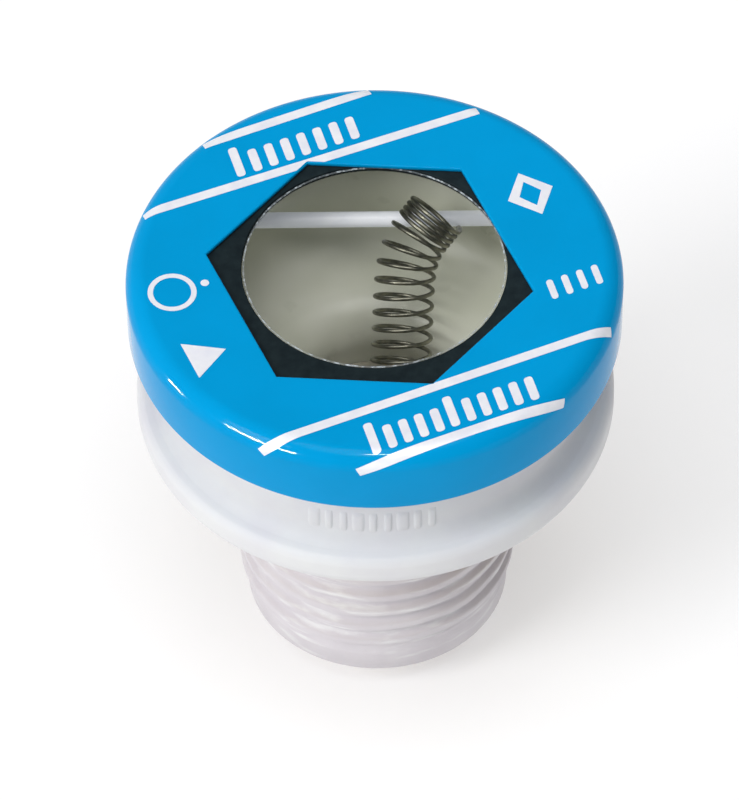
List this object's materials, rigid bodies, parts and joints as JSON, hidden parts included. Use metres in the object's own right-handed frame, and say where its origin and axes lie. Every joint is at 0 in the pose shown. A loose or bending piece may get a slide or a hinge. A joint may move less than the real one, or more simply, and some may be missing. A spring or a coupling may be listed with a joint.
{
  "type": "screw-in plug fuse",
  "caption": "Screw-in plug fuse with a painted cap, a hexagonal opening over a round window, a sprung solder trip and a narrow threaded base.",
  "frame": {"origin": "middle of the centre contact's lower face, on the screw axis", "axes": "+Z along the screw axis from the contact to the cap; +X to the right and -Y to the front as the picture shows the fuse"},
  "size_m": [0.0295, 0.0294, 0.0305],
  "materials": {
    "cap_paint": "glossy enamel",
    "black_fibre": "matt vulcanised fibre",
    "clear_pane": "clear moulded",
    "pale_gasket": "matt",
    "white_moulding": "semi-gloss moulded",
    "white_rod": "glazed",
    "spring_steel": "oiled drawn wire",
    "pin_brass": "drawn",
    "zinc": "rolled strip",
    "contact_brass": "stamped",
    "solder": "cast solder",
    "heater_alloy": "rolled, heat tinted",
    "grey_fibre": "matt vulcanised fibre"
  },
  "bodies": {
    "root": {"cap_shell": "cap_paint", "window_washer": "black_fibre", "window_pane": "clear_pane", "window_gasket": "pale_gasket", "body": "white_moulding", "anchor_bar": "white_rod", "trip_spring": "spring_steel", "fuse_link": "zinc", "link_terminal": "contact_brass", "link_solder": "solder", "solder_cup": "contact_brass", "solder_pellet": "solder", "heater_strip": "heater_alloy", "insulating_disc": "grey_fibre", "well_liner": "grey_fibre", "centre_contact": "contact_brass", "centre_solder": "solder", "side_contact": "contact_brass", "contact_rivet": "contact_brass"},
    "trip": {"trip_pin": "pin_brass"},
    "left_tongue": {"tongue_left": "contact_brass"},
    "right_tongue": {"tongue_right": "contact_brass"}
  },
  "joints": [
    {"name": "trip_release", "type": "slide", "parent": "root", "child": "trip", "axis": [0, 0, 1], "range_m": [0, 0.004], "deforming": ["trip_spring", "fuse_link"]},
    {"name": "left_tongue_press", "type": "hinge", "parent": "root", "child": "left_tongue", "pos_m": [-0.0107, 0.0035, 0.01787], "axis": [-1, 0, 0], "range_deg": [0, 9], "stiffness_Nm_per_rad": 0.6},
    {"name": "right_tongue_press", "type": "hinge", "parent": "root", "child": "right_tongue", "pos_m": [0.0107, -0.0035, 0.01787], "axis": [1, 0, 0], "range_deg": [0, 9], "stiffness_Nm_per_rad": 0.6}
  ]
}
